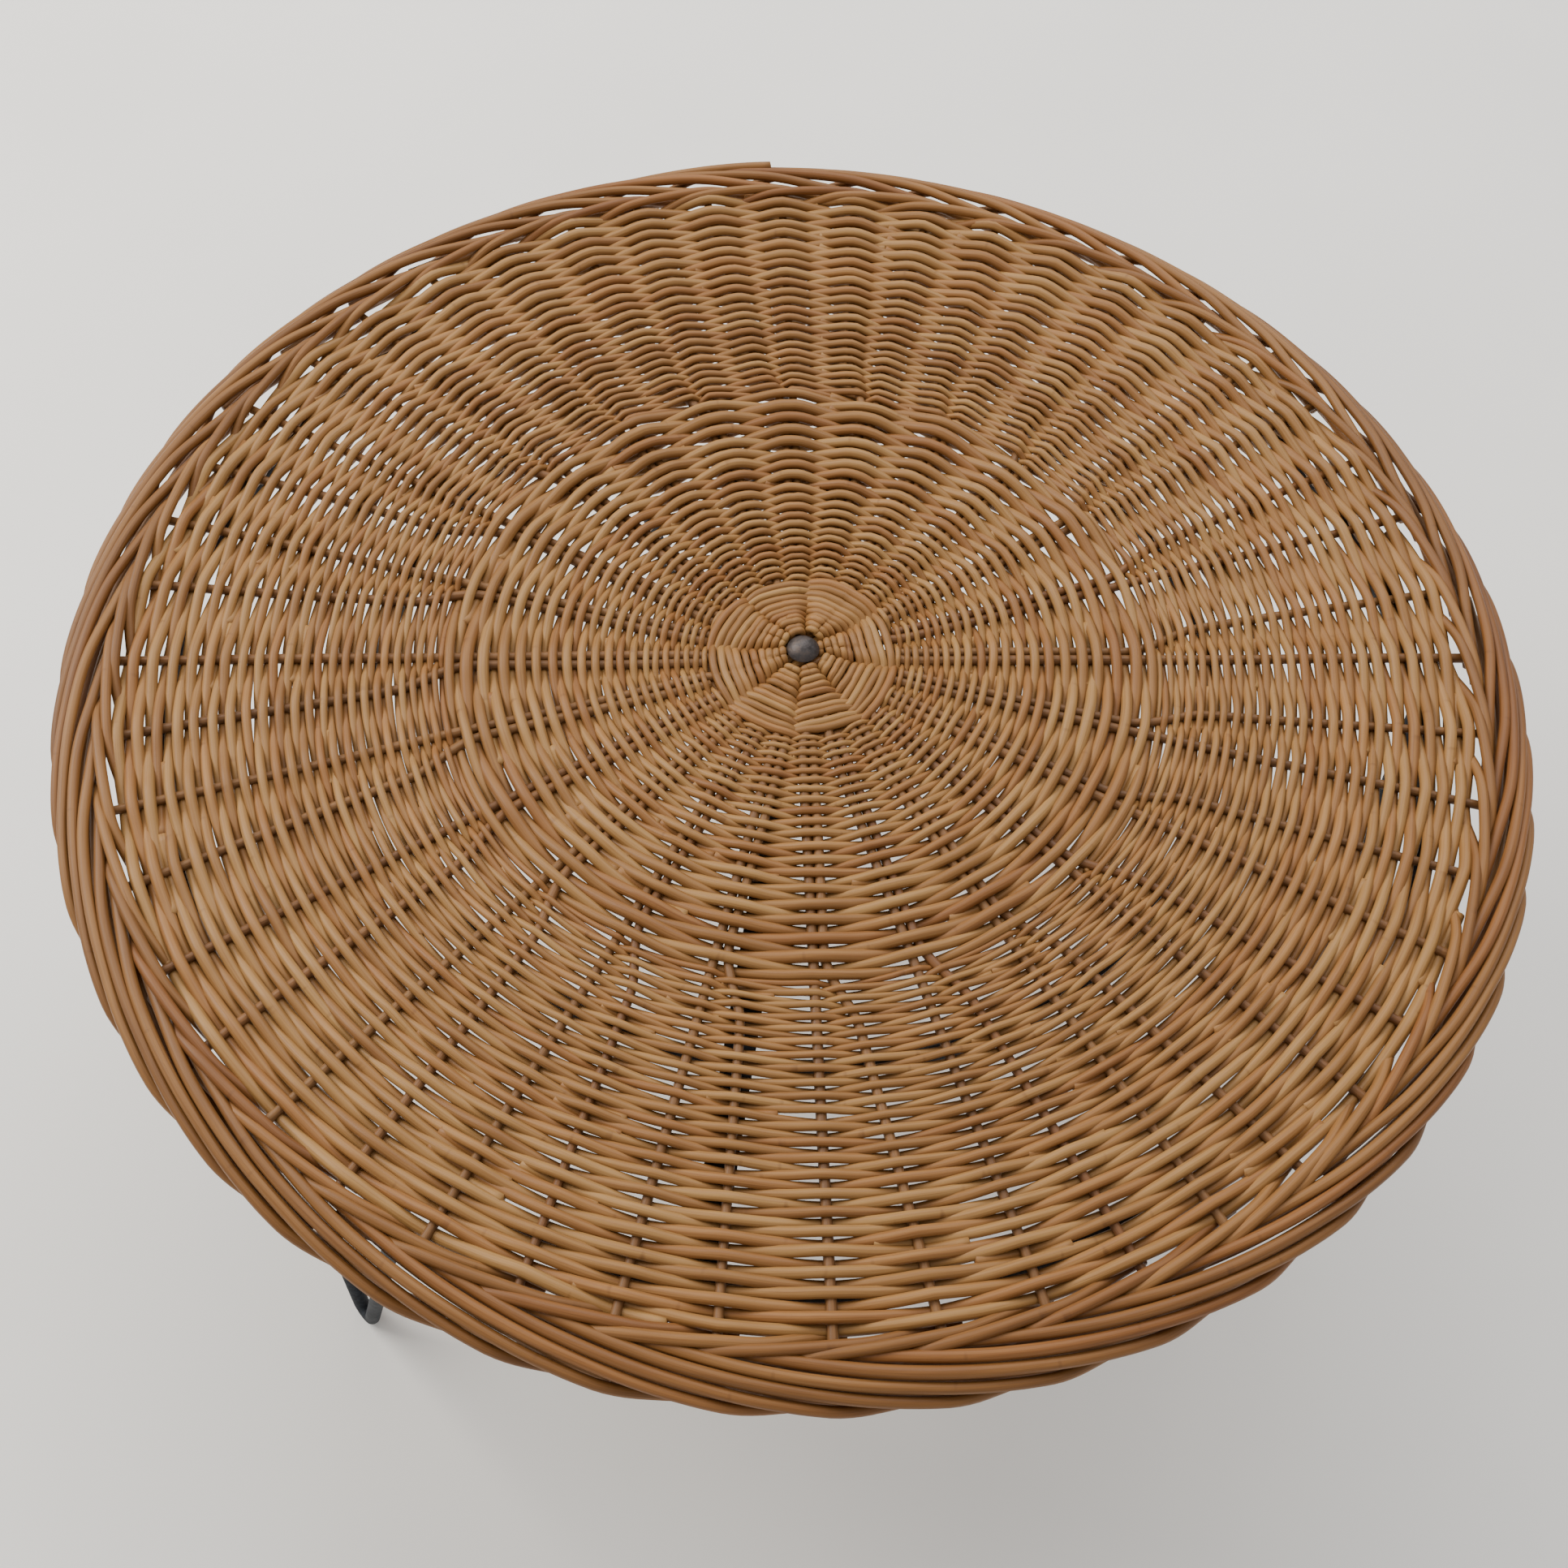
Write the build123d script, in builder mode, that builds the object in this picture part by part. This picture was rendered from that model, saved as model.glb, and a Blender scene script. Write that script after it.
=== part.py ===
"""Round wicker coffee table on a black iron frame with three hairpin legs.

Millimetres, +Z up.  The origin is on the floor, under the centre of the round top.
The woven top is made of radial stakes, woven zones and a rolled border.  A dome-headed
bolt through its hub holds it to a flat bar.  The bar, a ring and a hoop are welded
together under the weave, and the three bent-rod legs are welded under the hoop.

Azimuths are counted from the front (-Y), anticlockwise seen from above.
"""

import os
from math import asin, atan2, cos, hypot, radians, sin, tan

from build123d import *

# --- overall size ---------------------------------------------------------------
TOP_RADIUS = 360.0
TOP_HEIGHT = 405.0
WEAVE_THICKNESS = 16.0
WEAVE_UNDERSIDE = TOP_HEIGHT - WEAVE_THICKNESS
STAKE_LEVEL = TOP_HEIGHT - WEAVE_THICKNESS / 2

# --- zones of the woven top, as radii -------------------------------------------
HUB_CROSS_RADIUS = 24.0
HUB_WEAVE_RADIUS = 0.13 * TOP_RADIUS
RING_ROW_INNER = 0.462 * TOP_RADIUS
RING_ROW_OUTER = 0.476 * TOP_RADIUS
BORDER_INNER = 0.905 * TOP_RADIUS
BORDER_ROLL_INNER = 0.942 * TOP_RADIUS
BORDER_ROLL_HEIGHT = 28.0
BORDER_ROLL_DROP = 1.0
BORDER_ROLL_CORNER = 9.0

# --- stakes ----------------------------------------------------------------------
SPOKE_COUNT = 24
SPOKE_STEP = 360.0 / SPOKE_COUNT
FIRST_SPOKE_AZIMUTH = 6.6
STAKE_DIAMETER = 5.2
PAIR_OFFSET = 2.9
CHANNEL_CLEARANCE = 0.15
SIDE_STAKE_START = 45.0
STAKE_END = 0.93 * TOP_RADIUS
SPLIT_START = 0.478 * TOP_RADIUS
SPLIT_END = 0.563 * TOP_RADIUS
SPLIT_OFFSET = 15.0
SIDE_STAKE_BEND = 40.0
SIDE_STAKE_END_OFFSET = STAKE_END * tan(radians(SPOKE_STEP / 2)) - PAIR_OFFSET

# --- bolt ------------------------------------------------------------------------
BOLT_DIAMETER = 6.0
BOLT_HEAD_DIAMETER = 16.0
BOLT_HEAD_HEIGHT = 4.8
BOLT_NECK_SIDE = 6.0
BOLT_NECK_LENGTH = 4.0
BOLT_END_BELOW_NUT = 3.0
BOLT_HOLE_RADIUS = 3.3
HUB_HOLE_RADIUS = 4.4
WASHER_DIAMETER = 18.0
WASHER_THICKNESS = 1.6
NUT_ACROSS_FLATS = 10.0
NUT_HEIGHT = 5.0
THREAD_CLEARANCE = 0.05

# --- iron frame ------------------------------------------------------------------
HOOP_RADIUS = 0.86 * TOP_RADIUS
HOOP_ROD = 10.0
RING_RADIUS = 0.58 * TOP_RADIUS
RING_ROD = 8.0
BAR_WIDTH = 14.0
BAR_THICKNESS = 5.0
BAR_AZIMUTH = -3.7
WELD_GAP = 0.05
HOOP_LEVEL = WEAVE_UNDERSIDE - HOOP_ROD / 2
BAR_UNDERSIDE = WEAVE_UNDERSIDE - BAR_THICKNESS
RING_LEVEL = BAR_UNDERSIDE - RING_ROD / 2

# --- hairpin legs ------------------------------------------------------------------
LEG_NAMES = ["leg_front_left", "leg_right", "leg_back"]
LEG_AZIMUTHS = [-44.7, 75.3, 195.3]
LEG_ROD = 9.0
LEG_BEND_RADIUS = 6.5
LEG_HALF_SPREAD = 16.5
FOOT_RADIUS = 330.0
FOOT_WEAR = 0.4

os.makedirs("parts", exist_ok=True)


def point_at(radius, azimuth, height):
    """Point at a radius and an azimuth counted from the front."""
    angle = radians(azimuth)
    return Vector(radius * sin(angle), -radius * cos(angle), height)


def save(part, name):
    """Label a finished piece and write it to its own file."""
    part.label = name
    export_step(part, f"parts/{name}.step")


# --- stakes: rods and the channels that hold them in the weave ---------------------
def stake_rod(path_points, diameter):
    """Round rod along a path in the plane of the stakes, starting radially outwards."""
    with BuildPart() as rod:
        with BuildLine() as path:
            if len(path_points) == 2:
                Line(*path_points)
            else:
                FilletPolyline(*path_points, radius=SIDE_STAKE_BEND)
        with BuildSketch(Plane(origin=path.line @ 0, z_dir=path.line % 0)):
            Circle(diameter / 2)
        sweep()
    return rod.part


def long_stake(diameter):
    """Stake that runs straight from the hub to the border, drawn along the front."""
    start = (-PAIR_OFFSET, -HUB_CROSS_RADIUS, STAKE_LEVEL)
    end = (-PAIR_OFFSET, -STAKE_END, STAKE_LEVEL)
    return stake_rod([start, end], diameter)


def side_stake(diameter):
    """Stake that lies against the long one, then leaves it outside the ring row."""
    start = (PAIR_OFFSET, -SIDE_STAKE_START, STAKE_LEVEL)
    split = (PAIR_OFFSET, -SPLIT_START, STAKE_LEVEL)
    spread = (SPLIT_OFFSET, -SPLIT_END, STAKE_LEVEL)
    end = (SIDE_STAKE_END_OFFSET, -STAKE_END, STAKE_LEVEL)
    return stake_rod([start, split, spread, end], diameter)


long_stake_rod = long_stake(STAKE_DIAMETER)
side_stake_rod = side_stake(STAKE_DIAMETER)
spoke_angles = [FIRST_SPOKE_AZIMUTH + SPOKE_STEP * index for index in range(SPOKE_COUNT)]

for index, angle in enumerate(spoke_angles):
    with BuildPart() as spoke:
        add(long_stake_rod, rotation=(0, 0, angle))
        add(side_stake_rod, rotation=(0, 0, angle))
    save(spoke.part, f"stake_pair_{index + 1:02d}")

long_channel = long_stake(STAKE_DIAMETER + 2 * CHANNEL_CLEARANCE)
side_channel = side_stake(STAKE_DIAMETER + 2 * CHANNEL_CLEARANCE)


# --- woven zones: plain rings with a channel for every stake ------------------------
def cut_channels(channels):
    """Cut a channel for every spoke out of the piece being built."""
    for channel in channels:
        for angle in spoke_angles:
            add(channel, rotation=(0, 0, angle), mode=Mode.SUBTRACT)


def woven_ring(inner_radius, outer_radius, channels):
    """Flat woven ring of the full weave thickness, with channels for its stakes."""
    with BuildPart() as ring:
        with BuildSketch(Plane.XY.offset(WEAVE_UNDERSIDE)):
            Circle(outer_radius)
            Circle(inner_radius, mode=Mode.SUBTRACT)
        extrude(amount=WEAVE_THICKNESS)
        cut_channels(channels)
    return ring.part


save(woven_ring(HUB_HOLE_RADIUS, HUB_CROSS_RADIUS, []), "hub_cross")
save(woven_ring(HUB_CROSS_RADIUS, HUB_WEAVE_RADIUS, [long_channel, side_channel]), "hub_weave")
save(woven_ring(HUB_WEAVE_RADIUS, RING_ROW_INNER, [long_channel, side_channel]), "inner_weave")
save(woven_ring(RING_ROW_INNER, RING_ROW_OUTER, [long_channel, side_channel]), "ring_row")
save(woven_ring(RING_ROW_OUTER, BORDER_INNER, [long_channel, side_channel]), "outer_weave")
save(woven_ring(BORDER_INNER, BORDER_ROLL_INNER, [long_channel, side_channel]), "border_band")

# The roll is the border's outer rope of rods, which turns down over the edge.
roll_width = TOP_RADIUS - BORDER_ROLL_INNER
roll_middle_radius = (TOP_RADIUS + BORDER_ROLL_INNER) / 2
roll_middle_height = TOP_HEIGHT - BORDER_ROLL_DROP - BORDER_ROLL_HEIGHT / 2
with BuildPart() as border_roll:
    with BuildSketch(Plane.XZ):
        with Locations((roll_middle_radius, roll_middle_height)):
            RectangleRounded(roll_width, BORDER_ROLL_HEIGHT, BORDER_ROLL_CORNER)
    revolve(axis=Axis.Z)
save(border_roll.part, "border_roll")

# --- centre bolt, washer and nut ----------------------------------------------------
washer_underside = BAR_UNDERSIDE - WASHER_THICKNESS
nut_underside = washer_underside - NUT_HEIGHT
bolt_end = nut_underside - BOLT_END_BELOW_NUT
head_radius = BOLT_HEAD_DIAMETER / 2
dome_radius = (head_radius**2 + BOLT_HEAD_HEIGHT**2) / (2 * BOLT_HEAD_HEIGHT)

with BuildPart() as centre_bolt:
    with BuildSketch(Plane.XZ):
        with BuildLine():
            rim = (head_radius, TOP_HEIGHT)
            crown = (0, TOP_HEIGHT + BOLT_HEAD_HEIGHT)
            RadiusArc(crown, rim, dome_radius)
            Polyline(rim, (0, TOP_HEIGHT), crown)
        make_face()
    revolve(axis=Axis.Z)
    with BuildSketch(Plane.XY.offset(TOP_HEIGHT)):
        Rectangle(BOLT_NECK_SIDE, BOLT_NECK_SIDE)
    extrude(amount=-BOLT_NECK_LENGTH)
    with BuildSketch(Plane.XY.offset(bolt_end)):
        Circle(BOLT_DIAMETER / 2)
    extrude(amount=TOP_HEIGHT - bolt_end)
save(centre_bolt.part, "centre_bolt")

with BuildPart() as bolt_washer:
    with BuildSketch(Plane.XY.offset(washer_underside)):
        Circle(WASHER_DIAMETER / 2)
        Circle(BOLT_HOLE_RADIUS, mode=Mode.SUBTRACT)
    extrude(amount=WASHER_THICKNESS)
save(bolt_washer.part, "bolt_washer")

with BuildPart() as bolt_nut:
    with BuildSketch(Plane.XY.offset(nut_underside)):
        RegularPolygon(NUT_ACROSS_FLATS / 2, side_count=6, major_radius=False)
        Circle(BOLT_DIAMETER / 2 + THREAD_CLEARANCE, mode=Mode.SUBTRACT)
    extrude(amount=NUT_HEIGHT)
save(bolt_nut.part, "bolt_nut")


# --- hoop, ring and cross bar -------------------------------------------------------
def rod_ring(ring_radius, level, rod_diameter):
    """Closed ring of round rod at a given height."""
    with BuildPart() as ring:
        with BuildSketch(Plane.XZ):
            with Locations((ring_radius, level)):
                Circle(rod_diameter / 2)
        revolve(axis=Axis.Z)
    return ring.part


hoop_cutter = rod_ring(HOOP_RADIUS, HOOP_LEVEL, HOOP_ROD + 2 * WELD_GAP)
save(rod_ring(HOOP_RADIUS, HOOP_LEVEL, HOOP_ROD), "outer_hoop")
save(rod_ring(RING_RADIUS, RING_LEVEL, RING_ROD), "inner_ring")

with BuildPart() as cross_bar:
    with BuildSketch(Plane.XY.offset(BAR_UNDERSIDE)):
        Rectangle(BAR_WIDTH, 2 * HOOP_RADIUS, rotation=BAR_AZIMUTH)
        Circle(BOLT_HOLE_RADIUS, mode=Mode.SUBTRACT)
    extrude(amount=BAR_THICKNESS)
    add(hoop_cutter, mode=Mode.SUBTRACT)
    outer_slivers = cross_bar.solids().sort_by(SortBy.VOLUME)[:-1]
    add(outer_slivers, mode=Mode.SUBTRACT)
save(cross_bar.part, "cross_bar")


# --- hairpin legs -------------------------------------------------------------------
def hairpin_leg(azimuth):
    """One rod bent double at the floor, with both ends welded under the hoop."""
    end_one = point_at(HOOP_RADIUS, azimuth - LEG_HALF_SPREAD, HOOP_LEVEL)
    end_two = point_at(HOOP_RADIUS, azimuth + LEG_HALF_SPREAD, HOOP_LEVEL)
    foot = point_at(FOOT_RADIUS, azimuth, LEG_ROD / 2 - FOOT_WEAR)
    middle = (end_one + end_two) / 2
    across = (end_two - end_one).normalized()
    upwards = (middle - foot).normalized()
    leg_plane = Plane(origin=foot, x_dir=across, z_dir=across.cross(upwards))

    half_width = (end_two - end_one).length / 2
    leg_length = (middle - foot).length
    rise = leg_length - LEG_BEND_RADIUS
    lean = atan2(half_width, rise) - asin(LEG_BEND_RADIUS / hypot(half_width, rise))
    corner_drop = LEG_BEND_RADIUS / sin(lean) - LEG_BEND_RADIUS

    with BuildPart() as leg:
        with BuildLine(leg_plane) as path:
            FilletPolyline(
                (-half_width, leg_length),
                (0, -corner_drop),
                (half_width, leg_length),
                radius=LEG_BEND_RADIUS,
            )
        with BuildSketch(Plane(origin=path.line @ 0, z_dir=path.line % 0)):
            Circle(LEG_ROD / 2)
        sweep()
        add(hoop_cutter, mode=Mode.SUBTRACT)
        split(bisect_by=Plane.XY, keep=Keep.TOP)
    return leg.part


for name, azimuth in zip(LEG_NAMES, LEG_AZIMUTHS):
    save(hairpin_leg(azimuth), name)
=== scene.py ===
import bpy
import numpy as np
from mathutils import Matrix, Vector


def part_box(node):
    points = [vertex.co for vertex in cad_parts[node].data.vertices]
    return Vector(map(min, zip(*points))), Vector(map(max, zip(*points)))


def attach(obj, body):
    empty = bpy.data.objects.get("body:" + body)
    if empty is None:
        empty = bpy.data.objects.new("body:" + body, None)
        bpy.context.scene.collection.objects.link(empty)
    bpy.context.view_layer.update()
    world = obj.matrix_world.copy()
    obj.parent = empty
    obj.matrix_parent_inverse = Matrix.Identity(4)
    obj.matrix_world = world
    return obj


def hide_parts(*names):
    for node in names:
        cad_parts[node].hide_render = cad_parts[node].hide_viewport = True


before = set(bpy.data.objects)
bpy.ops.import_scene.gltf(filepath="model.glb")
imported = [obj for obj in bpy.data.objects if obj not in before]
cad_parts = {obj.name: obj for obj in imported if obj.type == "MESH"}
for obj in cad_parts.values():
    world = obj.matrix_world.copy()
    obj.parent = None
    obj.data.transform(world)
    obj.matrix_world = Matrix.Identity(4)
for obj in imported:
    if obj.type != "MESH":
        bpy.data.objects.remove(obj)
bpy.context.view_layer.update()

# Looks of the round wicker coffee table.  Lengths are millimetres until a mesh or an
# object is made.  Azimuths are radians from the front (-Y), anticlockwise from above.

MM = 0.001
TURN = 2 * np.pi

# --- sizes taken from the frame ---------------------------------------------------
WEAVE_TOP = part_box("outer_weave")[1].z / MM
WEAVE_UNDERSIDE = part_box("outer_weave")[0].z / MM
STAKE_LEVEL = (WEAVE_TOP + WEAVE_UNDERSIDE) / 2
BOLT_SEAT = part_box("hub_cross")[1].z / MM
HUB_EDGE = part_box("hub_weave")[1].x / MM
INNER_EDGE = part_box("inner_weave")[1].x / MM
RING_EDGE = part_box("ring_row")[1].x / MM
OUTER_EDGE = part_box("outer_weave")[1].x / MM
TOP_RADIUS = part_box("border_roll")[1].x / MM

# --- the weave's driving sizes ------------------------------------------------------
SPOKES = 24
SPOKE_STEP = TURN / SPOKES
FIRST_SPOKE = np.radians(6.6)
STAKE_RADIUS = 2.4
STAKE_TAPER = (1.03, 0.95)
PAIR_OFFSET = 2.45
SPLIT_START = 158.0
SPLIT_END = 198.0
SPLIT_OFFSET = 16.5
STAKE_END = 0.94 * TOP_RADIUS
SIDE_END_OFFSET = STAKE_END * np.tan(SPOKE_STEP / 2) - PAIR_OFFSET
HELD_HALF_WIDTH = 0.9 * PAIR_OFFSET
RING_ROWS_EDGE = RING_EDGE + 3.5
LAST_ROW_EDGE = 0.9125 * TOP_RADIUS

# Rods rise and fall by this share of what would clear the stakes, and by more behind.
TIGHTNESS = 0.62
LOOSER_BEHIND = 0.5
LIFT_SPREAD = (0.9, 1.04)
# Rows differ in thickness, and are a little thicker behind.
THICKNESS_SPREAD = (0.96, 1.04)
FULLER_BEHIND = 0.08
# Rods taper from a share of their row's thickness in the first range to one in the second.
THICK_ENDS = (1.0, 1.08)
THIN_ENDS = (0.86, 0.96)
# Each row wanders a little between stakes, as a share of its thickness.
BEND = 0.09
# All rows share a slower wander round the table: its size, its waves in a turn, and the
# length over which it changes outwards.
SWAY_SIZE = 0.9
SWAY_ORDERS = (2, 3, 5, 9)
SWAY_LENGTH = 47.0
# A row's rods are this much shorter or longer than usual; the last may be longer still.
ROD_LENGTHS = (0.8, 1.3)
LAST_ROD_LENGTH = 1.4
# Two rods' ends lie beside each other over this share of a span, each this share of a
# thickness aside.
LAP_SHARE = 0.45
LAP_ASIDE = 0.5

# --- the hub's driving sizes ----------------------------------------------------------
HUB_GROUPS = 8
HUB_GROUP_STEP = TURN / HUB_GROUPS
HUB_START = 10.0
CROSS_EDGE = 20.0
CROSS_STAKES = 6
# The crossed stakes lie this far above or below mid level in the middle, and come back
# by this share of it towards their tips.
CROSS_RISE = 2.2
CROSS_RETURN = 0.55
# Spacing of the rows, and their thickness as a multiple of it: first row, hub's edge.
HUB_PITCHES = (1.7, 2.1)
HUB_FULLNESS = (2.15, 2.1)
HUB_TIGHTNESS = 0.8 * TIGHTNESS
# Rows lie flat over this share of a span on either side of a group's middle.
HUB_FLAT_SHARE = 0.24
# Radians by which a group, and each row at a group, strays at most from even spacing.
HUB_GROUP_DRIFT = 0.08
HUB_ROW_DRIFT = 0.025
# Rows are drawn this far from circles towards octagons.  The middles of an octagon's
# sides lie at this share of the circle's radius, which keeps its mean.
OCTAGON_SHARE = 0.85
OCTAGON_SIDE = 0.974

rng = np.random.default_rng(20)
spoke_drift = rng.uniform(-0.008, 0.008, SPOKES)
side_drift = rng.uniform(-0.006, 0.006, SPOKES)


# --- rods as meshes -----------------------------------------------------------------
SIDES = 10
# A rod's end bulges by this share of the step before it.
TIP_SHARE = 0.15


def rod(points, radii, tone=None):
    """One round rod: its centre line, its radius along it, and a random look."""
    tone = rng.random(3) if tone is None else tone
    return np.asarray(points, float), np.asarray(radii, float), tone


def rod_rings(points, radii):
    """Rings of vertices round a centre line, as an array (point, side, xyz)."""
    tangent = np.gradient(points, axis=0)
    tangent /= np.linalg.norm(tangent, axis=1)[:, None]
    sideways = np.cross(tangent, (0, 0, 1))
    sideways /= np.linalg.norm(sideways, axis=1)[:, None]
    upward = np.cross(sideways, tangent)
    angles = np.arange(SIDES) * TURN / SIDES
    ring = (np.cos(angles)[None, :, None] * sideways[:, None]
            + np.sin(angles)[None, :, None] * upward[:, None])
    return points[:, None] + radii[:, None, None] * ring


def rods_to_piece(name, rods, material, nodes):
    """One mesh of all the rods, which stands for the given CAD nodes."""
    places, kinds, corners, quads, ends = [], [], [], [], []
    angles = np.arange(SIDES) * TURN / SIDES
    side = np.arange(SIDES)
    following = (side + 1) % SIDES
    first = 0
    for points, radii, tone in rods:
        count = len(points)
        rings = rod_rings(points, radii)
        tips = np.array([points[0] + (points[0] - points[1]) * TIP_SHARE,
                         points[-1] + (points[-1] - points[-2]) * TIP_SHARE])
        corners.append(np.concatenate([rings.reshape(-1, 3), tips]))
        along = np.concatenate([[0], np.linalg.norm(np.diff(points, axis=0), axis=1).cumsum()])
        place = np.empty((count, SIDES, 3))
        place[..., 0] = along[:, None]
        place[..., 1] = np.cos(angles)
        place[..., 2] = np.sin(angles)
        places.append(place.reshape(-1, 3))
        places.append(np.array([[0, 0, 0], [along[-1], 0, 0]]))
        kinds.append(np.tile(tone, (count * SIDES + 2, 1)))
        low = first + np.arange(count - 1)[:, None] * SIDES
        quads.append(np.stack([low + side, low + following,
                               low + SIDES + following, low + SIDES + side], -1).reshape(-1, 4))
        start_tip = first + count * SIDES
        last_ring = first + (count - 1) * SIDES
        ends.append(np.stack([following + first, side + first, np.full(SIDES, start_tip)], -1))
        ends.append(np.stack([side + last_ring, following + last_ring,
                              np.full(SIDES, start_tip + 1)], -1))
        first += count * SIDES + 2
    corners = np.concatenate(corners) * MM
    quads = np.concatenate(quads)
    ends = np.concatenate(ends)
    loops = np.concatenate([quads.ravel(), ends.ravel()]).astype(np.int32)
    starts = np.concatenate([np.arange(len(quads)) * 4,
                             len(quads) * 4 + np.arange(len(ends)) * 3]).astype(np.int32)

    mesh = bpy.data.meshes.new(name)
    mesh.vertices.add(len(corners))
    mesh.vertices.foreach_set("co", corners.astype(np.float32).ravel())
    mesh.loops.add(len(loops))
    mesh.loops.foreach_set("vertex_index", loops)
    mesh.polygons.add(len(starts))
    mesh.polygons.foreach_set("loop_start", starts)
    mesh.update(calc_edges=True)
    mesh.polygons.foreach_set("use_smooth", np.ones(len(starts), bool))
    for attribute, values in (("rod_place", places), ("rod_kind", kinds)):
        layer = mesh.attributes.new(attribute, "FLOAT_VECTOR", "POINT")
        layer.data.foreach_set("vector", np.concatenate(values).astype(np.float32).ravel())
    mesh.materials.append(material)

    piece = bpy.data.objects.new(name, mesh)
    bpy.context.collection.objects.link(piece)
    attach(piece, "root")
    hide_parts(*nodes)
    return piece


def place_at(radius, azimuth, height):
    """Points at a radius, an azimuth and a height, as an array (n, 3)."""
    radius, azimuth, height = np.broadcast_arrays(radius, azimuth, height)
    return np.stack([radius * np.sin(azimuth), -radius * np.cos(azimuth), height], -1)


def behind(azimuth):
    """1 at the back of the table, 0 at the front and small at the sides."""
    return ((1 - np.cos(azimuth)) / 2) ** 2


def smooth_step(value, low, high):
    """0 below low, 1 above high, with a smooth passage between them."""
    share = np.clip((value - low) / (high - low), 0, 1)
    return share * share * (3 - 2 * share)


# --- stakes -------------------------------------------------------------------------
def side_offset(radius):
    """Distance of a side stake from its spoke's line: it splits off outside the ring row."""
    slope = (SIDE_END_OFFSET - SPLIT_OFFSET) / (STAKE_END - SPLIT_END)
    line = SPLIT_OFFSET + slope * (radius - SPLIT_END)
    return PAIR_OFFSET + (line - PAIR_OFFSET) * smooth_step(radius, SPLIT_START, SPLIT_END)


def spoke_azimuths(radius):
    """Azimuth of each spoke's line, which wanders a little from even spacing."""
    fade = smooth_step(radius, HUB_EDGE, INNER_EDGE)
    return FIRST_SPOKE + SPOKE_STEP * np.arange(SPOKES) + fade * spoke_drift


def stake_azimuths(radius):
    """Azimuths of the 48 stakes at a radius: a long one and a side one for each spoke."""
    spokes = spoke_azimuths(radius)
    fade = smooth_step(radius, SPLIT_START, OUTER_EDGE)
    long_stakes = spokes - np.arctan2(PAIR_OFFSET, radius)
    side_stakes = spokes + np.arctan2(side_offset(radius), radius) + fade * side_drift
    return np.stack([long_stakes, side_stakes], -1).ravel()


def group_azimuths(radius, azimuth):
    """Spoke azimuths pulled together in the hub, where three stakes lie side by side."""
    member = np.round((azimuth - FIRST_SPOKE) / SPOKE_STEP) % 3 - 1
    middle = azimuth - member * SPOKE_STEP
    side_by_side = 2.05 * STAKE_RADIUS
    gathered = middle + member * side_by_side / np.maximum(radius, CROSS_EDGE)
    spread = smooth_step(radius, CROSS_EDGE + 6, HUB_EDGE + 4)
    return gathered + (azimuth - gathered) * spread


def make_stakes():
    """The 24 pairs of stakes, gathered in eight groups of three in the hub."""
    long_radii = np.linspace(CROSS_EDGE, STAKE_END, 90)
    side_radii = np.linspace(HUB_EDGE + 1, STAKE_END, 80)
    long_taper = np.linspace(*STAKE_TAPER, len(long_radii))
    side_taper = np.linspace(*STAKE_TAPER, len(side_radii))
    wave_height = 0.35
    long_wave_length = 23.0
    side_wave_length = 21.0
    for index in range(SPOKES):
        spoke = np.array([spoke_azimuths(r)[index] for r in long_radii])
        gathered = group_azimuths(long_radii, spoke)
        offset = -PAIR_OFFSET * smooth_step(long_radii, HUB_EDGE - 12, HUB_EDGE + 8)
        wave = wave_height * np.sin(long_radii / long_wave_length + rng.uniform(0, TURN))
        azimuth = gathered + np.arctan2(offset, long_radii)
        radii = STAKE_RADIUS * rng.uniform(0.94, 1.06) * long_taper
        pair = [rod(place_at(long_radii, azimuth, STAKE_LEVEL + wave), radii)]
        azimuth = np.array([stake_azimuths(r)[2 * index + 1] for r in side_radii])
        wave = wave_height * np.sin(side_radii / side_wave_length + rng.uniform(0, TURN))
        radii = STAKE_RADIUS * rng.uniform(0.92, 1.04) * side_taper
        pair.append(rod(place_at(side_radii, azimuth, STAKE_LEVEL + wave), radii))
        node = f"stake_pair_{index + 1:02d}"
        rods_to_piece(f"stakes_{index + 1:02d}", pair, stake_wood_painted_shade, [node])


# --- weaving ------------------------------------------------------------------------
sway_phases = rng.uniform(0, TURN, (len(SWAY_ORDERS), 2))


def sway(radius, azimuth):
    """Gentle wander of the rows, shared by neighbouring rows."""
    wander = 0
    for order, (around, outward) in zip(SWAY_ORDERS, sway_phases):
        wave = np.sin(order * azimuth + around + radius / SWAY_LENGTH + outward)
        wander = wander + wave / order
    return SWAY_SIZE * wander


def row_path(radius, crossings, over_first, lift, held, steps, peak=0.11):
    """Centre line of one row, which passes over and under the stakes by turns.

    `held` is the half width of a stake bundle, where the row lies flat, and `peak`
    makes the bend over each stake sharper.
    """
    spans = np.diff(np.append(crossings, crossings[0] + TURN))
    share = np.arange(steps) / steps
    azimuth = crossings[:, None] + spans[:, None] * share
    flat = (held / (radius * spans))[:, None]
    passage = np.clip((share - flat) / (1 - 2 * flat), 0, 1)
    wave = (np.cos(np.pi * passage) + peak * np.cos(3 * np.pi * passage)) / (1 + peak)
    sign = np.where((np.arange(len(crossings)) + over_first) % 2 == 0, 1.0, -1.0)
    lift = lift * rng.uniform(*LIFT_SPREAD, len(sign)) * (1 + LOOSER_BEHIND * behind(crossings))
    height = (lift * sign)[:, None] * wave
    return azimuth.ravel(), height.ravel(), sign


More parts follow.
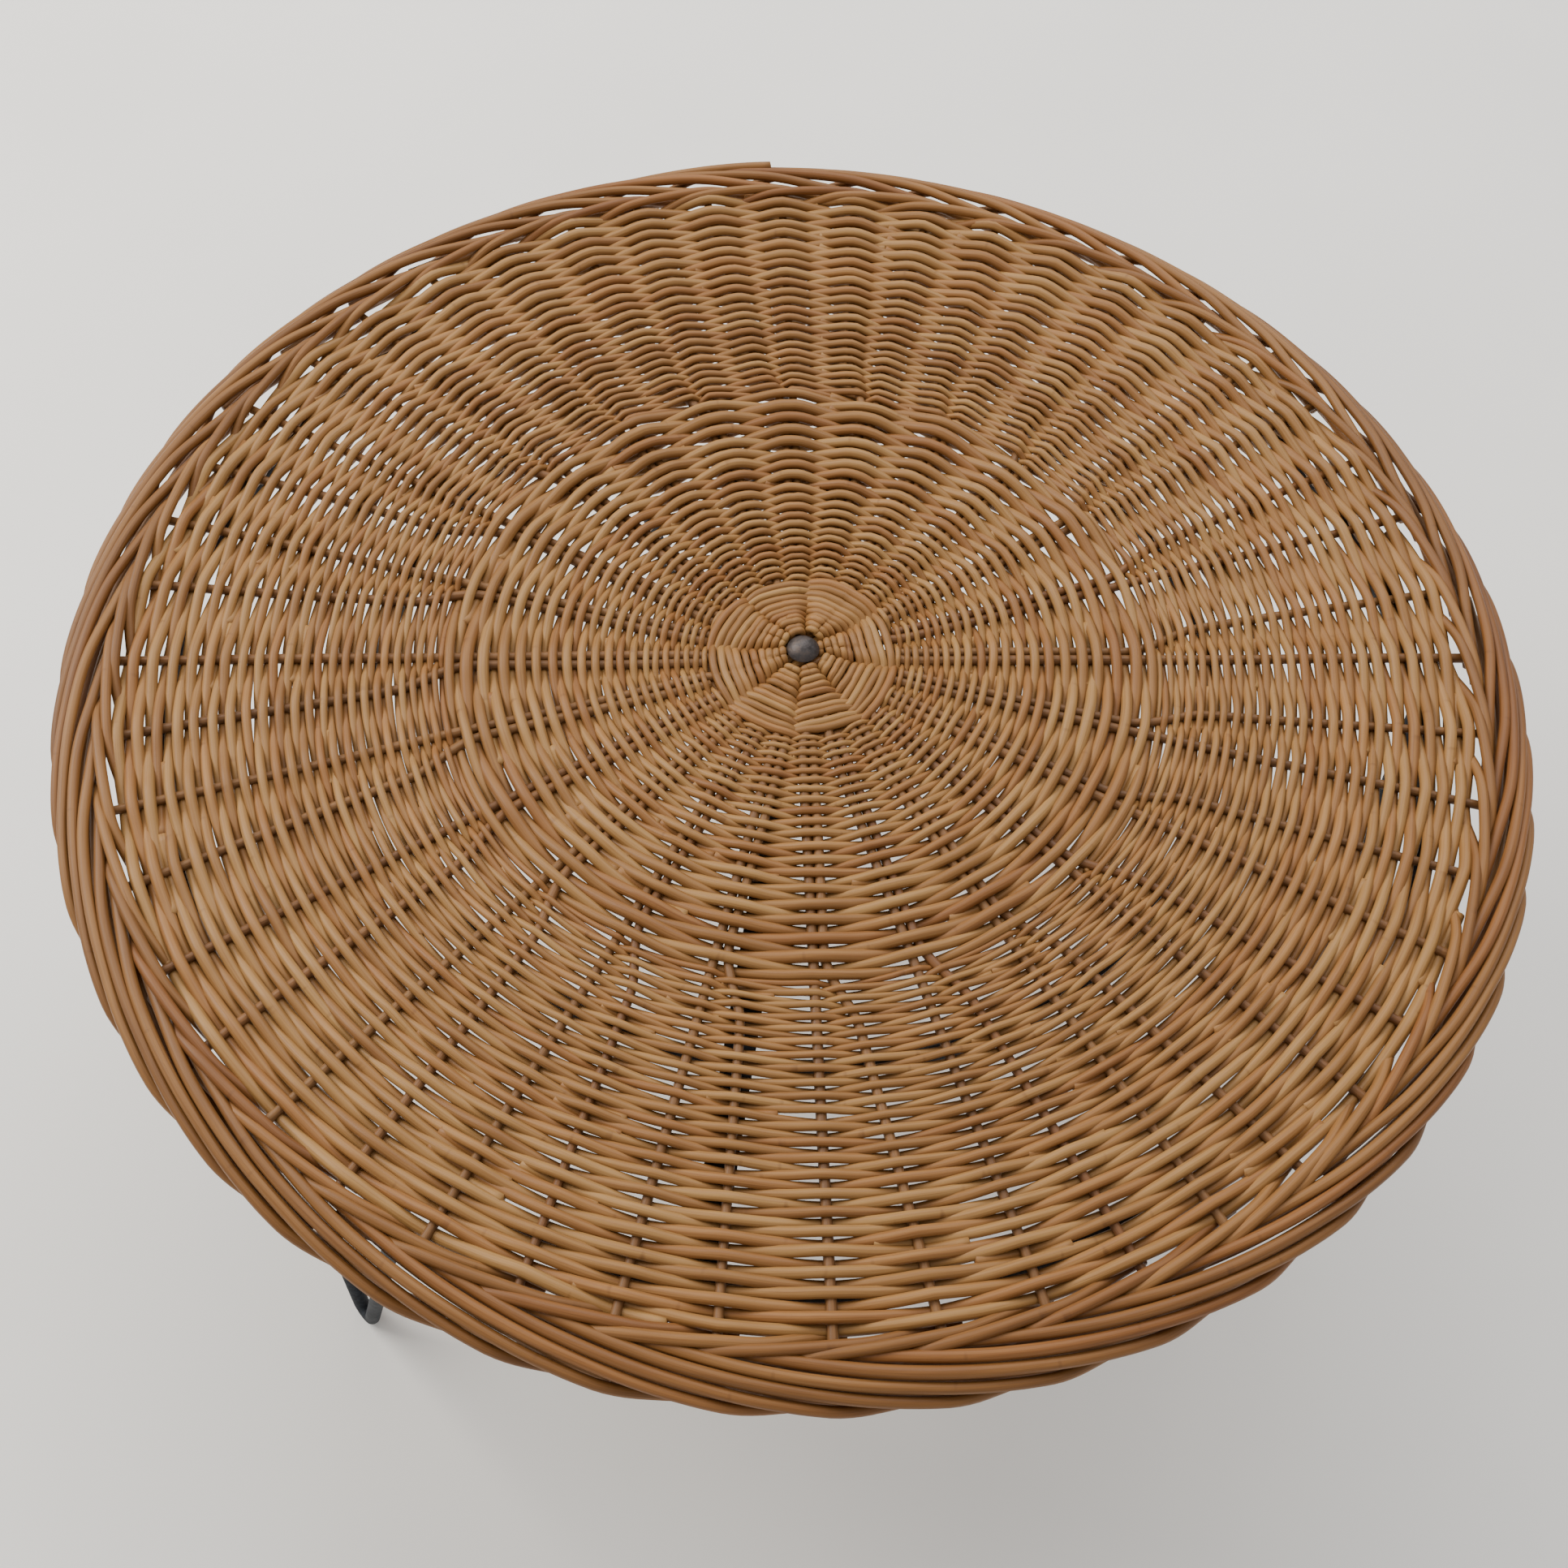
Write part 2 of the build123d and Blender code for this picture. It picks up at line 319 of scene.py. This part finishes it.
def cut_row(radius, azimuth, height, sign, steps, thickness, cells_per_rod, level):
    """Rods of one row.  Each ends under a stake, beside the start of the next one."""
    count = len(sign)
    total = len(azimuth)
    under = np.flatnonzero(sign < 0)
    joints = [rng.choice(under)]
    while joints[-1] + cells_per_rod * LAST_ROD_LENGTH < joints[0] + count:
        length = int(cells_per_rod * rng.uniform(*ROD_LENGTHS)) // 2 * 2
        joints.append(joints[-1] + max(length, 2))
    joints.append(joints[0] + count)
    lap = int(steps * LAP_SHARE) + 1
    rods = []
    bends = rng.normal(0, BEND * thickness, count)
    for begin, end in zip(joints[:-1], joints[1:]):
        index = np.arange(begin * steps - lap, end * steps + lap + 1)
        turns, wrapped = np.divmod(index, total)
        angle = azimuth[wrapped] + turns * TURN
        from_end = np.minimum(np.arange(len(index)), 3 * lap) / (3 * lap)
        aside = LAP_ASIDE * thickness * ((1 - from_end[::-1]) - (1 - from_end))
        bend = np.interp(wrapped / steps, np.arange(count), bends, period=count)
        distance = radius + sway(radius, angle) + aside + bend
        points = place_at(distance, angle, level + height[wrapped])
        taper = np.linspace(rng.uniform(*THICK_ENDS), rng.uniform(*THIN_ENDS), len(index))
        if rng.random() < 0.5:
            taper = taper[::-1]
        rods.append(rod(points, thickness / 2 * taper * (1 + FULLER_BEHIND * behind(angle))))
    return rods


def row_places(inner, outer, first_pitch, last_pitch):
    """Radii of a zone's rows and the room each has: the spacing grows and fills the zone."""
    count = round((outer - inner) * np.log(last_pitch / first_pitch) / (last_pitch - first_pitch))
    pitches = np.geomspace(first_pitch, last_pitch, count)
    pitches *= (outer - inner) / pitches.sum()
    return zip(inner + np.cumsum(pitches) - pitches / 2, pitches)


def woven_zone(rows, crossings_at, held, fill, rod_length, steps, first_number):
    """All rows of a zone, each `fill` times as thick as its share of room, more or less.

    `held` is the half width of a stake bundle and `steps` the points along each span.
    """
    rods = []
    number = first_number
    for radius, pitch in rows:
        thickness = pitch * fill * rng.uniform(*THICKNESS_SPREAD)
        crossings = crossings_at(radius)
        lift = TIGHTNESS * (STAKE_RADIUS + thickness / 2)
        azimuth, height, sign = row_path(radius, crossings, number, lift, held, steps)
        cells = max(int(rod_length / (TURN * radius / len(sign))), 4)
        rods += cut_row(radius, azimuth, height, sign, steps, thickness, cells, STAKE_LEVEL)
        number += 1
    return rods, number


def towards_octagon(rods, side_middle, flatness):
    """Rods of a round row, drawn towards an octagon with one side's middle given."""
    step = HUB_GROUP_STEP
    shaped = []
    for points, radii, tone in rods:
        angle = np.arctan2(points[:, 0], -points[:, 1])
        local = (angle - side_middle + step / 2) % step - step / 2
        stretch = 1 + flatness * (OCTAGON_SIDE / np.cos(local) - 1)
        points[:, :2] *= stretch[:, None]
        shaped.append((points, radii, tone))
    return shaped


def crossed_ends():
    """The ends of the stakes, which cross in two layers and fill the hub's middle."""
    shortest_reach = 5.0
    rods = []
    for layer, turn in ((-1, 0), (1, 1)):
        for arm in range(CROSS_STAKES):
            offset = (arm - (CROSS_STAKES - 1) / 2) * 2 * STAKE_RADIUS
            reach = np.sqrt(max((CROSS_EDGE + 3) ** 2 - offset ** 2, shortest_reach ** 2))
            line = np.linspace(-reach, reach, 14)
            angle = FIRST_SPOKE + SPOKE_STEP * 2.5 + turn * TURN / 4
            across = np.array([np.cos(angle), np.sin(angle), 0])
            ahead = np.array([-np.sin(angle), np.cos(angle), 0])
            height = STAKE_LEVEL + layer * CROSS_RISE * (1 - CROSS_RETURN * (line / reach) ** 2)
            points = line[:, None] * ahead + offset * across
            points[:, 2] += height
            rods.append(rod(points, np.full(len(line), STAKE_RADIUS)))
    return rods


def make_hub():
    """Tight rows round the bolt, over and under the eight groups; returns their number."""
    steps = 18
    spans_per_rod = 7
    even_middles = FIRST_SPOKE + SPOKE_STEP + HUB_GROUP_STEP * np.arange(HUB_GROUPS)
    group_drift = rng.uniform(-HUB_GROUP_DRIFT, HUB_GROUP_DRIFT, HUB_GROUPS)
    radius = HUB_START
    number = 0
    inner_rods, outer_rods = [], []
    while radius < HUB_EDGE - 1:
        pitch = np.interp(radius, (HUB_START, HUB_EDGE), HUB_PITCHES)
        thickness = pitch * np.interp(radius, (HUB_START, HUB_EDGE), HUB_FULLNESS)
        rise = BOLT_SEAT - thickness / 2 - STAKE_LEVEL
        plain = HUB_TIGHTNESS * (STAKE_RADIUS + thickness / 2)
        lift = plain + (rise - plain) * (1 - smooth_step(radius, HUB_START + 4, CROSS_EDGE + 12))
        row_drift = rng.uniform(-HUB_ROW_DRIFT, HUB_ROW_DRIFT, HUB_GROUPS)
        middles = even_middles + group_drift + row_drift
        half_flat = HUB_FLAT_SHARE * HUB_GROUP_STEP * radius
        azimuth, height, sign = row_path(radius, middles, number, lift, half_flat, steps, peak=0.0)
        flatness = OCTAGON_SHARE * (1 - smooth_step(radius, HUB_EDGE - 12, HUB_EDGE + 1))
        rods = cut_row(radius, azimuth, height, sign, steps, thickness, spans_per_rod, STAKE_LEVEL)
        rods = towards_octagon(rods, even_middles[0], flatness)
        if radius < CROSS_EDGE + 4:
            inner_rods += rods
        else:
            outer_rods += rods
        radius += pitch
        number += 1
    inner_rods += crossed_ends()
    rods_to_piece("hub_middle", inner_rods, weaver_wood, ["hub_cross"])
    rods_to_piece("hub_rows", outer_rods, weaver_wood, ["hub_weave"])
    return number


# --- border ---------------------------------------------------------------------------
BORDER_ROD = 2.7
VEE_RADIUS = 0.945 * TOP_RADIUS
# The angle from one stake to the next, which is one repeat of the border's plait.
REPEAT_ANGLE = TURN / (2 * SPOKES)
# Neighbouring rods stand apart by this much just outside the V line, less at the front.
VEE_GAP = 2.3
CLOSER_IN_FRONT = 0.75
# An outer rod's way along the section: its place at its own stake, its advance in each
# repeat, the repeat where that ends, the length of its turn under the edge, its advance
# in each repeat once it is under, and how far it bulges at the edge.
OUTER_START = 3.6
OUTER_ADVANCE = 6.3
OUTER_ADVANCE_END = 3.9
TURN_UNDER_LENGTH = 11.5
UNDER_ADVANCE = 2.5
EDGE_BULGE = 1.1
# A top rod's repeats: its delay after the outer rod of its stake, and where it ends.
TOP_DELAY = 0.45
TOP_END = 2.7
# Its distance inside the V line before it leans, how far it leans in, and how far its
# end is tucked in besides.
TOP_INSET = 1.2
TOP_LEAN = 8.0
TOP_TUCK = 6.0
# Its centre line's depth below the weave's top, how much deeper its two ends are, and
# its crown between them.
TOP_DEPTH = 2.6
DEEPER_AT_VEE = 8.5
DEEPER_AT_WEAVE = 11.5
TOP_CROWN = 1.2
# The band of top rods is narrower at the front, and wider at the sides and behind.
NARROWER_IN_FRONT = 2.2
WIDER_AT_SIDES = 1.3
WIDER_BEHIND = 3.0
# An underside rod: the repeat where it ends, its start inside the V line and its advance
# in each repeat, its start above the weave's underside and its fall from there.
UNDERSIDE_END = 3.0
UNDERSIDE_INSET = 4.5
UNDERSIDE_ADVANCE = 5.3
UNDERSIDE_RISE = 3.0
UNDERSIDE_FALL = 7.0
# Section of the border's outer side, from its hidden inner end over the crest by the
# dark line, over the edge and back under: distance outwards from the V line, and depth
# below the weave's top.
SECTION_OUT = np.array([-6.0, -2.0, 1.3, 5.0, 9.6, 13.6, 16.0, 16.2, 13.3, 8.8, 3.5])
SECTION_DOWN = np.array([9.5, 5.0, 2.9, 3.1, 4.6, 8.2, 12.9, 17.6, 22.0, 24.6, 25.2])
SECTION_LENGTH = np.concatenate(
    [[0], np.hypot(np.diff(SECTION_OUT), np.diff(SECTION_DOWN)).cumsum()])


def section_point(distance):
    """Point of the border's section at a distance along it from its hidden inner end."""
    return (np.interp(distance, SECTION_LENGTH, SECTION_OUT),
            np.interp(distance, SECTION_LENGTH, SECTION_DOWN))


def eased(values):
    """Values along a rod with their corners rounded off."""
    padded = np.pad(values, 3, mode="edge")
    return np.convolve(padded, np.ones(7) / 7, mode="valid")


def in_front(azimuth):
    """1 at the front of the table, 0 at the back and small at the sides."""
    return behind(azimuth + TURN / 2)


def border_sway(azimuth):
    """The weave's wander, as much of it as reaches the border."""
    return 0.4 * sway(TOP_RADIUS, azimuth)


def tapered(thick_end, thin_ends, count):
    """Radii of a border rod, from its thick end to a thin end drawn at random."""
    taper = np.linspace(thick_end, rng.uniform(*thin_ends), count)
    return BORDER_ROD * (taper * rng.uniform(0.94, 1.04))


def outer_rod(begin):
    """Rod from under the V line, outwards over the edge and under it.

    `n` counts repeats of the plait along the rod, from the stake it belongs to.
    """
    n = np.linspace(-0.4, 5.6, 70)
    azimuth = begin + REPEAT_ANGLE * (n + rng.uniform(-0.06, 0.06))
    steady = OUTER_START + OUTER_ADVANCE * np.minimum(n, OUTER_ADVANCE_END)
    turn_under = TURN_UNDER_LENGTH * smooth_step(n, 3.75, 4.7)
    under = UNDER_ADVANCE * np.maximum(n - 4.3, 0)
    gap = VEE_GAP * (1 - CLOSER_IN_FRONT * in_front(azimuth))
    stand_apart = gap * smooth_step(n, 0.5, 1.1) * (1 - smooth_step(n, 1.2, 2.6))
    out, down = section_point(steady + turn_under + under + stand_apart)
    bulge = EDGE_BULGE * smooth_step(n, 2.6, 3.8) * (1 - smooth_step(n, OUTER_ADVANCE_END, 4.5))
    radius = VEE_RADIUS + eased(out) + bulge + border_sway(azimuth)
    height = WEAVE_TOP - eased(down) + rng.uniform(-0.3, 0.3)
    return rod(place_at(radius, azimuth, height), tapered(1.04, (0.88, 0.98), len(n)))


def top_rod(begin):
    """Rod from under the V line, inwards and down under the last row of the weave.

    `n` counts repeats of the plait along the rod, as for an outer rod.
    """
    end = TOP_END + rng.uniform(-0.1, 0.1)
    n = np.linspace(-0.3, end, 40)
    azimuth = begin + REPEAT_ANGLE * (n + TOP_DELAY + rng.uniform(-0.07, 0.07))
    inwards = TOP_INSET + TOP_LEAN * smooth_step(n, -0.8, 2.3) + TOP_TUCK * smooth_step(n, 1.7, end)
    wider = WIDER_BEHIND * behind(azimuth) + WIDER_AT_SIDES * np.sin(azimuth) ** 2
    inwards = inwards + wider - NARROWER_IN_FRONT * in_front(azimuth)
    hidden_start = DEEPER_AT_VEE * (1 - smooth_step(n, -0.1, 0.55))
    hidden_end = DEEPER_AT_WEAVE * smooth_step(n, 1.5, end)
    crown = TOP_CROWN * np.sin(np.pi * np.clip(n / end, 0, 1))
    height = WEAVE_TOP - TOP_DEPTH - hidden_start - hidden_end + crown
    radius = VEE_RADIUS - inwards + border_sway(azimuth) + rng.uniform(-0.4, 0.4)
    return rod(place_at(radius, azimuth, eased(height)), tapered(1.02, (0.86, 0.98), len(n)))


def underside_rod(begin):
    """Rod of the same plait seen from below, which closes the border's underside."""
    n = np.linspace(0, UNDERSIDE_END, 36)
    azimuth = begin + REPEAT_ANGLE * (n + rng.uniform(-0.05, 0.05))
    radius = VEE_RADIUS - UNDERSIDE_INSET + UNDERSIDE_ADVANCE * n
    fall = UNDERSIDE_FALL * smooth_step(n, 0.3, UNDERSIDE_END)
    height = WEAVE_UNDERSIDE + UNDERSIDE_RISE - fall
    radii = np.full(len(n), BORDER_ROD * rng.uniform(0.92, 1.0))
    return rod(place_at(radius, azimuth, height), radii)


def loose_rod():
    """Rod laid in on top of the others, whose cut end shows at the back."""
    count = 30
    azimuth = np.radians(np.linspace(187, 208, count))
    radius = TOP_RADIUS * np.linspace(0.984, 0.978, count)
    start_depth = 4.2
    fall = 5.0 * smooth_step(azimuth, azimuth[0], azimuth[-1])
    height = WEAVE_TOP - start_depth - fall
    pale_tone = (1, 0, 0.5)
    return rod(place_at(radius, azimuth, height), np.full(count, BORDER_ROD), pale_tone)


def make_border():
    """Three families of slanting rods, one rod of each for every stake, and a loose rod."""
    outer_rods, top_rods = [], []
    for begin in stake_azimuths(STAKE_END):
        outer_rods.append(outer_rod(begin))
        top_rods.append(top_rod(begin))
        top_rods.append(underside_rod(begin))
    outer_rods.append(loose_rod())
    rods_to_piece("border_outer_rods", outer_rods, border_wood, ["border_roll"])
    rods_to_piece("border_top_rods", top_rods, border_wood, ["border_band"])


# --- materials --------------------------------------------------------------------------
def new_material(name):
    """Node material and its Principled shader, with helpers that add a node and a link."""
    material = bpy.data.materials.new(name)
    material.use_nodes = True
    tree = material.node_tree
    shader = tree.nodes["Principled BSDF"]

    def node(kind, inputs=None, **settings):
        made = tree.nodes.new(kind)
        for key, value in settings.items():
            setattr(made, key, value)
        for key, value in (inputs or {}).items():
            if isinstance(value, bpy.types.NodeSocket):
                tree.links.new(value, made.inputs[key])
            else:
                made.inputs[key].default_value = value
        return made

    def link(output, socket):
        tree.links.new(output, socket)

    return material, shader, node, link


def ramp(node, source, stops):
    """Colour ramp over a value; stops are (position, linear colour)."""
    made = node("ShaderNodeValToRGB", {"Fac": source})
    elements = made.color_ramp.elements
    elements[0].position, elements[0].color = stops[0][0], (*stops[0][1], 1)
    elements[1].position, elements[1].color = stops[-1][0], (*stops[-1][1], 1)
    for position, colour in stops[1:-1]:
        elements.new(position).color = (*colour, 1)
    return made.outputs["Color"]


def mixed(node, kind, factor, first, second):
    """Two colours blended; a factor may be a number or a socket."""
    made = node("ShaderNodeMix", data_type="RGBA", blend_type=kind)
    tree = made.id_data
    for index, value in ((0, factor), (6, first), (7, second)):
        if isinstance(value, bpy.types.NodeSocket):
            tree.links.new(value, made.inputs[index])
        else:
            made.inputs[index].default_value = value
    return made.outputs[2]


def willow(name, dark, middle, light, ruddy):
    """Stained willow: every rod has its own tone, with streaks along it and small knots."""
    material, shader, node, link = new_material(name)
    place = node("ShaderNodeAttribute", attribute_name="rod_place").outputs["Vector"]
    kind = node("ShaderNodeAttribute", attribute_name="rod_kind").outputs["Vector"]
    looks = node("ShaderNodeSeparateXYZ", {0: kind})

    # Each rod reads its own stretch of the streak pattern.
    shift = node("ShaderNodeVectorMath", {0: kind, 1: (700.0, 0.0, 0.0)}, operation="MULTIPLY")
    own = node("ShaderNodeVectorMath", {0: place, 1: shift.outputs[0]}, operation="ADD")
    streak_place = node("ShaderNodeVectorMath", {0: own.outputs[0], 1: (0.012, 1.7, 1.7)},
                        operation="MULTIPLY")
    streaks = node("ShaderNodeTexNoise", {"Vector": streak_place.outputs[0], "Scale": 2.2,
                                          "Detail": 5.0, "Roughness": 0.62})
    patch_place = node("ShaderNodeVectorMath", {0: own.outputs[0], 1: (0.02, 0.25, 0.25)},
                       operation="MULTIPLY")
    patches = node("ShaderNodeTexNoise", {"Vector": patch_place.outputs[0], "Scale": 1.0,
                                          "Detail": 3.0})
    knots = node("ShaderNodeTexNoise", {"Vector": own.outputs[0], "Scale": 0.11, "Detail": 2.0})

    rod_tone = node("ShaderNodeMath", {0: looks.outputs["X"], 1: 0.30}, operation="MULTIPLY")
    streak_tone = node("ShaderNodeMath", {0: streaks.outputs["Fac"], 1: 0.70}, operation="MULTIPLY")
    patch_tone = node("ShaderNodeMath", {0: patches.outputs["Fac"], 1: 0.35}, operation="MULTIPLY")
    total = node("ShaderNodeMath", {0: rod_tone.outputs[0], 1: streak_tone.outputs[0]}, operation="ADD")
    total = node("ShaderNodeMath", {0: total.outputs[0], 1: patch_tone.outputs[0]}, operation="ADD")
    colour = ramp(node, total.outputs[0], [(0.30, dark), (0.66, middle), (1.02, light)])

    ruddy_share = node("ShaderNodeMapRange", {"Value": looks.outputs["Y"], "From Min": 0.55,
                                              "From Max": 1.0, "To Max": 0.5})
    colour = mixed(node, "MULTIPLY", ruddy_share.outputs[0], colour, (*ruddy, 1))
    dots = node("ShaderNodeMapRange", {"Value": knots.outputs["Fac"], "From Min": 0.66,
                                       "From Max": 0.74, "To Max": 0.55})
    colour = mixed(node, "MULTIPLY", dots.outputs[0], colour, (0.42, 0.33, 0.27, 1))
    link(colour, shader.inputs["Base Color"])

    gloss = node("ShaderNodeMapRange", {"Value": streaks.outputs["Fac"], "From Min": 0.3,
                                        "From Max": 0.7, "To Min": 0.42, "To Max": 0.62})
    link(gloss.outputs[0], shader.inputs["Roughness"])
    bump = node("ShaderNodeBump", {"Height": streaks.outputs["Fac"], "Strength": 0.35,
                                   "Distance": 0.0006})
    link(bump.outputs["Normal"], shader.inputs["Normal"])
    shader.inputs["Coat Weight"].default_value = 0.05
    shader.inputs["Specular IOR Level"].default_value = 0.3
    shader.inputs["Coat Roughness"].default_value = 0.3
    return material


def painted_iron():
    """Black painted iron: worn, faintly blue, with rust where the paint is thin."""
    material, shader, node, link = new_material("black_painted_iron")
    place = node("ShaderNodeTexCoord").outputs["Object"]
    grain = node("ShaderNodeTexNoise", {"Vector": place, "Scale": 420.0, "Detail": 6.0,
                                        "Roughness": 0.65})
    wear = node("ShaderNodeTexNoise", {"Vector": place, "Scale": 38.0, "Detail": 8.0,
                                       "Roughness": 0.7})
    colour = ramp(node, grain.outputs["Fac"], [(0.3, (0.012, 0.014, 0.018)),
                                              (0.7, (0.035, 0.040, 0.048))])
    rust = node("ShaderNodeMapRange", {"Value": wear.outputs["Fac"], "From Min": 0.62,
                                       "From Max": 0.74, "To Max": 0.7})
    colour = mixed(node, "MIX", rust.outputs[0], colour, (0.085, 0.035, 0.016, 1))
    link(colour, shader.inputs["Base Color"])
    gloss = node("ShaderNodeMapRange", {"Value": wear.outputs["Fac"], "From Min": 0.35,
                                        "From Max": 0.7, "To Min": 0.6, "To Max": 0.85})
    link(gloss.outputs[0], shader.inputs["Roughness"])
    bump = node("ShaderNodeBump", {"Height": grain.outputs["Fac"], "Strength": 0.3,
                                   "Distance": 0.0004})
    link(bump.outputs["Normal"], shader.inputs["Normal"])
    shader.inputs["Specular IOR Level"].default_value = 0.2
    return material


def bolt_iron():
    """Bare iron of the bolt: grey-brown, with a dull polish and small pits."""
    material, shader, node, link = new_material("bolt_iron")
    place = node("ShaderNodeTexCoord").outputs["Object"]
    pits = node("ShaderNodeTexNoise", {"Vector": place, "Scale": 900.0, "Detail": 5.0})
    stains = node("ShaderNodeTexNoise", {"Vector": place, "Scale": 190.0, "Detail": 6.0,
                                         "Roughness": 0.7})
    colour = ramp(node, stains.outputs["Fac"], [(0.32, (0.030, 0.025, 0.025)),
                                               (0.52, (0.066, 0.058, 0.058)),
                                               (0.72, (0.110, 0.084, 0.072))])
    link(colour, shader.inputs["Base Color"])
    gloss = node("ShaderNodeMapRange", {"Value": stains.outputs["Fac"], "From Min": 0.3,
                                        "From Max": 0.7, "To Min": 0.36, "To Max": 0.58})
    link(gloss.outputs[0], shader.inputs["Roughness"])
    bump = node("ShaderNodeBump", {"Height": pits.outputs["Fac"], "Strength": 0.5,
                                   "Distance": 0.0003})
    link(bump.outputs["Normal"], shader.inputs["Normal"])
    shader.inputs["Metallic"].default_value = 0.75
    return material


weaver_wood = willow("weaver_willow", (0.138, 0.051, 0.0115), (0.235, 0.112, 0.0320),
                     (0.340, 0.190, 0.0640), (0.95, 0.74, 0.66))
# The stakes' colours are darker than the weavers' as painted shade: they stand in for the shadow the
# stakes lie in under the rows.
stake_wood_painted_shade = willow("stake_willow_painted_shade", (0.075, 0.030, 0.008), (0.150, 0.066, 0.019),
                    (0.240, 0.118, 0.040), (0.92, 0.72, 0.66))
border_wood = willow("border_willow", (0.095, 0.034, 0.0072), (0.182, 0.077, 0.0190),
                     (0.280, 0.134, 0.0400), (0.95, 0.72, 0.62))

make_stakes()
rows_so_far = make_hub()
inner_rods, rows_so_far = woven_zone(
    row_places(HUB_EDGE, INNER_EDGE, first_pitch=2.1, last_pitch=4.7), spoke_azimuths,
    held=HELD_HALF_WIDTH, fill=1.3, rod_length=700, steps=12, first_number=rows_so_far)
rods_to_piece("inner_rows", inner_rods, weaver_wood, ["inner_weave"])
ring_rods, _ = woven_zone(
    row_places(INNER_EDGE, RING_ROWS_EDGE, first_pitch=4.2, last_pitch=4.3), spoke_azimuths,
    held=HELD_HALF_WIDTH, fill=1.2, rod_length=900, steps=12, first_number=rows_so_far)
rods_to_piece("ring_rows", ring_rods, weaver_wood, ["ring_row"])
outer_rods, _ = woven_zone(
    row_places(RING_ROWS_EDGE, LAST_ROW_EDGE, first_pitch=2.6, last_pitch=4.6), stake_azimuths,
    held=0.0, fill=1.25, rod_length=800, steps=10, first_number=0)
rods_to_piece("outer_rows", outer_rods, weaver_wood, ["outer_weave"])
make_border()

black_iron = painted_iron()
for name in ("outer_hoop", "inner_ring", "cross_bar", "leg_front_left", "leg_right", "leg_back"):
    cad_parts[name].material_slots[0].material = black_iron
bare_iron = bolt_iron()
for name in ("centre_bolt", "bolt_washer", "bolt_nut"):
    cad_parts[name].material_slots[0].material = bare_iron


# --- floor, light and camera ------------------------------------------------------------
def make_floor():
    """Plain pale floor of 12 by 12 metres, with faintly uneven colour."""
    half = 6.0
    mesh = bpy.data.meshes.new("floor")
    corners = [(-half, -half, 0), (half, -half, 0), (half, half, 0), (-half, half, 0)]
    mesh.from_pydata(corners, [], [(0, 1, 2, 3)])
    floor = bpy.data.objects.new("floor", mesh)
    bpy.context.collection.objects.link(floor)
    material, shader, node, link = new_material("pale_floor")
    place = node("ShaderNodeTexCoord").outputs["Object"]
    cloud = node("ShaderNodeTexNoise", {"Vector": place, "Scale": 2.5, "Detail": 4.0})
    link(ramp(node, cloud.outputs["Fac"], [(0.3, (0.80, 0.79, 0.77)), (0.7, (0.86, 0.85, 0.83))]),
         shader.inputs["Base Color"])
    shader.inputs["Roughness"].default_value = 0.85
    mesh.materials.append(material)


def make_light(name, place, size, power, colour):
    """Soft square light aimed at the middle of the table top; lengths in metres."""
    data = bpy.data.lights.new(name, "AREA")
    data.shape = "SQUARE"
    data.size = size
    data.energy = power
    data.color = colour
    light = bpy.data.objects.new(name, data)
    bpy.context.collection.objects.link(light)
    light.location = place
    aim = Vector((0, 0, WEAVE_TOP * MM)) - light.location
    light.rotation_euler = aim.to_track_quat("-Z", "Y").to_euler()


def make_camera():
    """Camera above the front edge, looking steeply down and turned a little clockwise."""
    pitch, yaw, roll = 1.0224, -0.0085, 0.0754
    distance_in_front, height_above_top = 1.4264 * TOP_RADIUS, 1.9801 * TOP_RADIUS
    ahead = Vector((np.sin(yaw) * np.cos(pitch), np.cos(yaw) * np.cos(pitch), -np.sin(pitch)))
    right = Vector((np.cos(yaw), -np.sin(yaw), 0))
    up = right.cross(ahead)
    rolled_right = np.cos(roll) * right + np.sin(roll) * up
    rolled_up = -np.sin(roll) * right + np.cos(roll) * up
    data = bpy.data.cameras.new("camera")
    data.sensor_width = 36.0
    data.lens = 41.16
    camera = bpy.data.objects.new("camera", data)
    bpy.context.collection.objects.link(camera)
    turn = Matrix((rolled_right, rolled_up, -ahead)).transposed().to_4x4()
    place = Vector((0, -distance_in_front, WEAVE_TOP + height_above_top)) * MM
    camera.matrix_world = Matrix.Translation(place) @ turn
    bpy.context.scene.camera = camera


def make_world():
    """Even pale light from all round."""
    world = bpy.data.worlds.new("pale_room")
    world.use_nodes = True
    background = world.node_tree.nodes["Background"]
    background.inputs["Color"].default_value = (0.84, 0.83, 0.81, 1)
    background.inputs["Strength"].default_value = 0.88
    bpy.context.scene.world = world


make_floor()
make_light("window_light", (-2.3, 0.8, 2.3), size=1.8, power=104, colour=(1.0, 0.955, 0.88))
make_light("ceiling_light", (0.3, 1.7, 2.8), size=2.8, power=86, colour=(1.0, 0.985, 0.96))
make_world()
make_camera()
